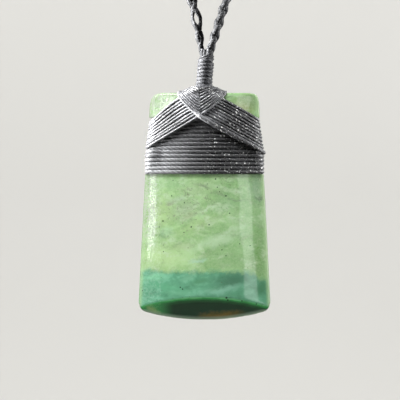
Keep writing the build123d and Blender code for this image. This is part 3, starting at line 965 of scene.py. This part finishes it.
class PENDANT_OT_plait(bpy.types.Operator):
    """Four cords plaited into the neck cord"""

    bl_idname = "pendant.plait"
    bl_label = "Plait"

    def execute(self, context):
        sizes = context.scene.pendant_plait
        line = even_points(route_points(), 0.3)
        run, length = along(line)
        way = headings(line)
        front = np.array([0.0, -1.0, 0.0])
        side = unit(np.cross(way, front))
        face = np.cross(side, way)
        # the cords are squeezed together where the neck turns bind them, and on the left they are slack above that,
        # with an open place between them
        left, right = blend_step(run, 2.0, 9.0), blend_step(length - run, 1.8, 5.5)
        slack = blend_step(run, 8.0, 14.0) * (1 - blend_step(run, 26.0, 44.0))
        middle = np.interp(PLAIT_OPEN, line[:200, 2], run[:200])
        opened = np.exp(-(((run - middle) / 2.4) ** 2))
        turned = np.cumsum(2 * math.pi / (sizes.lay / MM * (1 + opened))) * (run[1] - run[0])
        turned -= np.interp(middle, run, turned)
        for k in range(4):
            forward = 1 if k < 2 else -1
            angle = forward * turned + math.pi * (k % 2)
            reach = (0.47 + forward * 0.18 * np.cos(2 * angle)) * (1 + 0.3 * slack)
            reach = reach * left * right + (0.30 + 0.12 * left) * (1 - left * right)
            reach = reach + (0.86 - reach) * opened
            across = reach[:, None] * (np.cos(angle)[:, None] * side + np.sin(angle)[:, None] * face)
            across += (forward * 0.34 * opened)[:, None] * face
            strand = line + across
            outward = unit(across + 0.001 * face)
            size = sizes.strand_width / MM * (0.62 + 0.38 * left) * (0.8 + 0.2 * right)
            size = size * (1 - 0.05 * slack - 0.12 * opened)
            strands = [(strand, outward, size, size * 0.68, False)]
            cord = thread_object(f"plait_cord_{k + 1}", strands, sides=12, lobes=3, lay=3.0)
            finish_piece(cord, thread_material("plait"), "plaited_cord", "neck_plait")
        return {"FINISHED"}


class PENDANT_OT_throat(bpy.types.Operator):
    """Cord ends between the plaits and the neck turns"""

    bl_idname = "pendant.throat"
    bl_label = "Throat"

    def execute(self, context):
        cords = []
        for x, y, z in THROAT_TOPS:
            points = np.array([
                (0.8 * x - 0.3, 0.9 * y, 0.4), (0.05 + 0.30 * x, 0.62 * y, 2.6), (0.12 + 0.55 * x, 0.80 * y, 6.2),
                (0.2 + 0.7 * x, 0.9 * y, 7.5), (0.1 + 0.9 * x, y, z - 0.3), (0.2 + x * 0.8, y * 0.75, z + 0.5),
            ])
            points[:, 2] += BLADE_TOP
            line = even_points(smooth_line(points, 3), 0.25)
            outward = unit(np.stack([line[:, 0] - 0.2, line[:, 1], 0 * line[:, 0]], 1))
            cords.append((line, outward, 0.8, 0.66, False))
        # a few slanting turns close the throat over the cords
        angle = np.linspace(0, 2 * math.pi * 3.1, 140)
        climb = 6.7 + 0.55 * angle / (2 * math.pi)
        radius = np.interp(climb, [6.6, 7.3, 7.9, 8.4], [1.52, 1.46, 1.32, 1.02])
        outward = np.stack([np.cos(angle + 2), np.sin(angle + 2), 0 * angle], 1)
        line = radius[:, None] * outward
        line[:, 0] += 0.34 + 0.12 * (climb - 7)
        line[:, 2] = BLADE_TOP + climb + 0.2 * line[:, 0]
        cords.append((line, outward, 0.66, 0.6, False))
        # the cords' tails lie over the stone's top edge, under the crossed threads
        for x in np.arange(-2.7, 2.4, 0.62):

            def place(share, angle, x=x):
                y, up = -8 * share * np.cos(angle), 8 * share * np.sin(angle)
                return np.stack([x + 0 * angle, y, BLADE_TOP - 1.6 + up], 1)

            line = drawn_loop(place, lambda p: 0.2 + 0 * p[:, 2], crown_gap, 240)[:121]
            line = even_points(line, 0.25)
            cords.append((line, slope(crown_gap, line)[0], 0.7, 0.45, False))
        throat = thread_object("throat_cords", cords, sides=12, lobes=3, lay=3.0)
        finish_piece(throat, thread_material("plait"), "plaited_cord", "cord_ends")
        return {"FINISHED"}


def area_light(name, place, target, size, size_y, power, roll=0.0):
    """A soft rectangular light, in metres and watts, aimed at a target and rolled by degrees."""
    light = bpy.data.lights.new(name, "AREA")
    light.shape = "RECTANGLE"
    light.size, light.size_y = size, size_y
    light.energy = power
    lamp = link_new(name, light)
    lamp.location = place
    aim = (Vector(target) - Vector(place)).to_track_quat("-Z", "Y")
    lamp.rotation_euler = (aim @ Quaternion((0, 0, 1), math.radians(roll))).to_euler()
    return lamp


class PENDANT_OT_stage(bpy.types.Operator):
    """Pale floor and wall, soft lights and the camera"""

    bl_idname = "pendant.stage"
    bl_label = "Stage"

    def execute(self, context):
        scene = context.scene
        # floor and round wall in one, in metres: radius and height, from the middle out and up
        low, flat, corner = -1.7, 3.2, 1.4
        profile = [(0.0, low), (flat, low)]
        for a in np.linspace(0.1, math.pi / 2, 12):
            profile.append((flat + corner * math.sin(a), low + corner * (1 - math.cos(a))))
        profile += [(4.6, 1.0), (4.6, 3.0)]
        count = 72
        verts, faces = [], []
        for r, z in profile[1:]:
            turn = np.linspace(0, 2 * math.pi, count, endpoint=False)
            verts += [(r * math.cos(a), r * math.sin(a), z) for a in turn]
        verts.append((0, 0, profile[0][1]))
        for row in range(len(profile) - 2):
            for k in range(count):
                a, b = row * count + k, row * count + (k + 1) % count
                faces.append((a, a + count, b + count, b))
        faces += [(len(verts) - 1, k, (k + 1) % count) for k in range(count)]
        mesh = bpy.data.meshes.new("studio_floor")
        mesh.from_pydata(verts, [], faces)
        mesh.polygons.foreach_set("use_smooth", [True] * len(mesh.polygons))
        floor = link_new("studio_floor", mesh)
        floor.data.materials.append(material_of("painted_plaster", painted_plaster))

        centre = Vector((0, 0, -0.309))
        # lights for the wall behind the pendant and behind the camera, and one for the pendant's back
        spread = math.radians(100)
        area_light("back_softbox", (0, 2.2, 2.2), (0, 4.6, -0.9), 3.0, 1.5, 52.0).data.spread = spread
        area_light("over_softbox", (0, 1.6, 3.0), (0, 3.4, -1.7), 4.0, 1.5, 30.0)
        area_light("front_wall_softbox", (0, -2.6, 2.4), (0, -4.2, -1.4), 3.0, 1.0, 9.0).data.spread = spread
        area_light("rear_softbox", (0.55, 1.1, 0.25), (0, 0, -0.309), 0.6, 0.6, 4.0)
        # lights for the polished stone, and lights flagged off it that make the waxed thread shine
        for kind, lights in (
            ("stone", (
                ("key_softbox", (-0.42, -0.42, -0.195), centre, 0.09, 0.24, 0.68),
                ("upper_softbox", (-0.316, -0.526, -0.223), centre, 0.16, 0.055, 0.36),
                ("strip_softbox", (0.340, -0.494, -0.30), centre, 0.088, 0.9, 0.6, 33),
                ("rim_softbox", (0.50, 0.02, -0.12), centre, 0.20, 0.5, 1.5),
                ("fill_softbox", (-0.22, -0.40, 0.30), centre, 0.40, 0.30, 8.0),
            )),
            ("threads", (
                ("side_softbox", (-0.62, 0.02, -0.10), centre, 0.22, 0.60, 96.0),
                ("low_softbox", (-0.55, 0.02, -0.66), centre, 0.22, 0.40, 12.0),
                ("crest_softbox", (-0.41, -0.18, 0.16), centre, 0.25, 0.25, 15.0),
                ("edge_softbox", (0.60, 0.02, -0.15), centre, 0.20, 0.45, 17.0),
            )),
        ):
            lit = bpy.data.collections.new(f"lit_{kind}")
            for piece in LIT[kind]:
                lit.objects.link(piece)
            for light in lights:
                area_light(*light).light_linking.receiver_collection = lit

        world = bpy.data.worlds.new("studio_air")
        world.use_nodes = True
        world.node_tree.nodes["Background"].inputs["Color"].default_value = linear("#EDEDEC")
        world.node_tree.nodes["Background"].inputs["Strength"].default_value = 0.06
        scene.world = world

        camera = bpy.data.cameras.new("camera")
        camera.lens = 300
        camera.sensor_width = 36
        camera.clip_start, camera.clip_end = 0.01, 20
        eye = link_new("camera", camera)
        field = PHOTO_WIDE / PHOTO_SCALE * MM
        distance = field / 2 / (camera.sensor_width / 2 / camera.lens)
        eye.location = (PHOTO_MIDDLE[0] * MM, -distance, (BLADE_TOP + PHOTO_MIDDLE[1]) * MM)
        eye.rotation_euler = (math.pi / 2, 0, 0)
        scene.camera = eye
        scene.view_settings.view_transform = "Standard"
        return {"FINISHED"}


class PENDANT_PT_panel(bpy.types.Panel):
    """Lists the pendant's pieces"""

    bl_idname = "PENDANT_PT_panel"
    bl_label = "Pendant"
    bl_space_type = "VIEW_3D"
    bl_region_type = "UI"
    bl_category = "Pendant"

    def draw(self, context):
        for name in GROUPS:
            group = getattr(context.scene, name)
            for key in group.__annotations__:
                self.layout.prop(group, key)
        for operator in OPERATORS:
            self.layout.operator(operator.bl_idname)


OPERATORS = (
    PENDANT_OT_stone, PENDANT_OT_level_turns, PENDANT_OT_straps,
    PENDANT_OT_neck, PENDANT_OT_throat, PENDANT_OT_plait, PENDANT_OT_stage,
)
GROUPS = {"pendant_threads": PendantThreads, "pendant_plait": PendantPlait, "pendant_colours": PendantColours}
CLASSES = (*GROUPS.values(), *OPERATORS, PENDANT_PT_panel)


def register():
    for item in CLASSES:
        bpy.utils.register_class(item)
    for name, group in GROUPS.items():
        setattr(bpy.types.Scene, name, bpy.props.PointerProperty(type=group))


def unregister():
    for name in GROUPS:
        delattr(bpy.types.Scene, name)
    for item in reversed(CLASSES):
        bpy.utils.unregister_class(item)


def main():
    register()
    for operator in OPERATORS:
        group, name = operator.bl_idname.split(".")
        getattr(getattr(bpy.ops, group), name)()


if __name__ == "__main__":
    main()
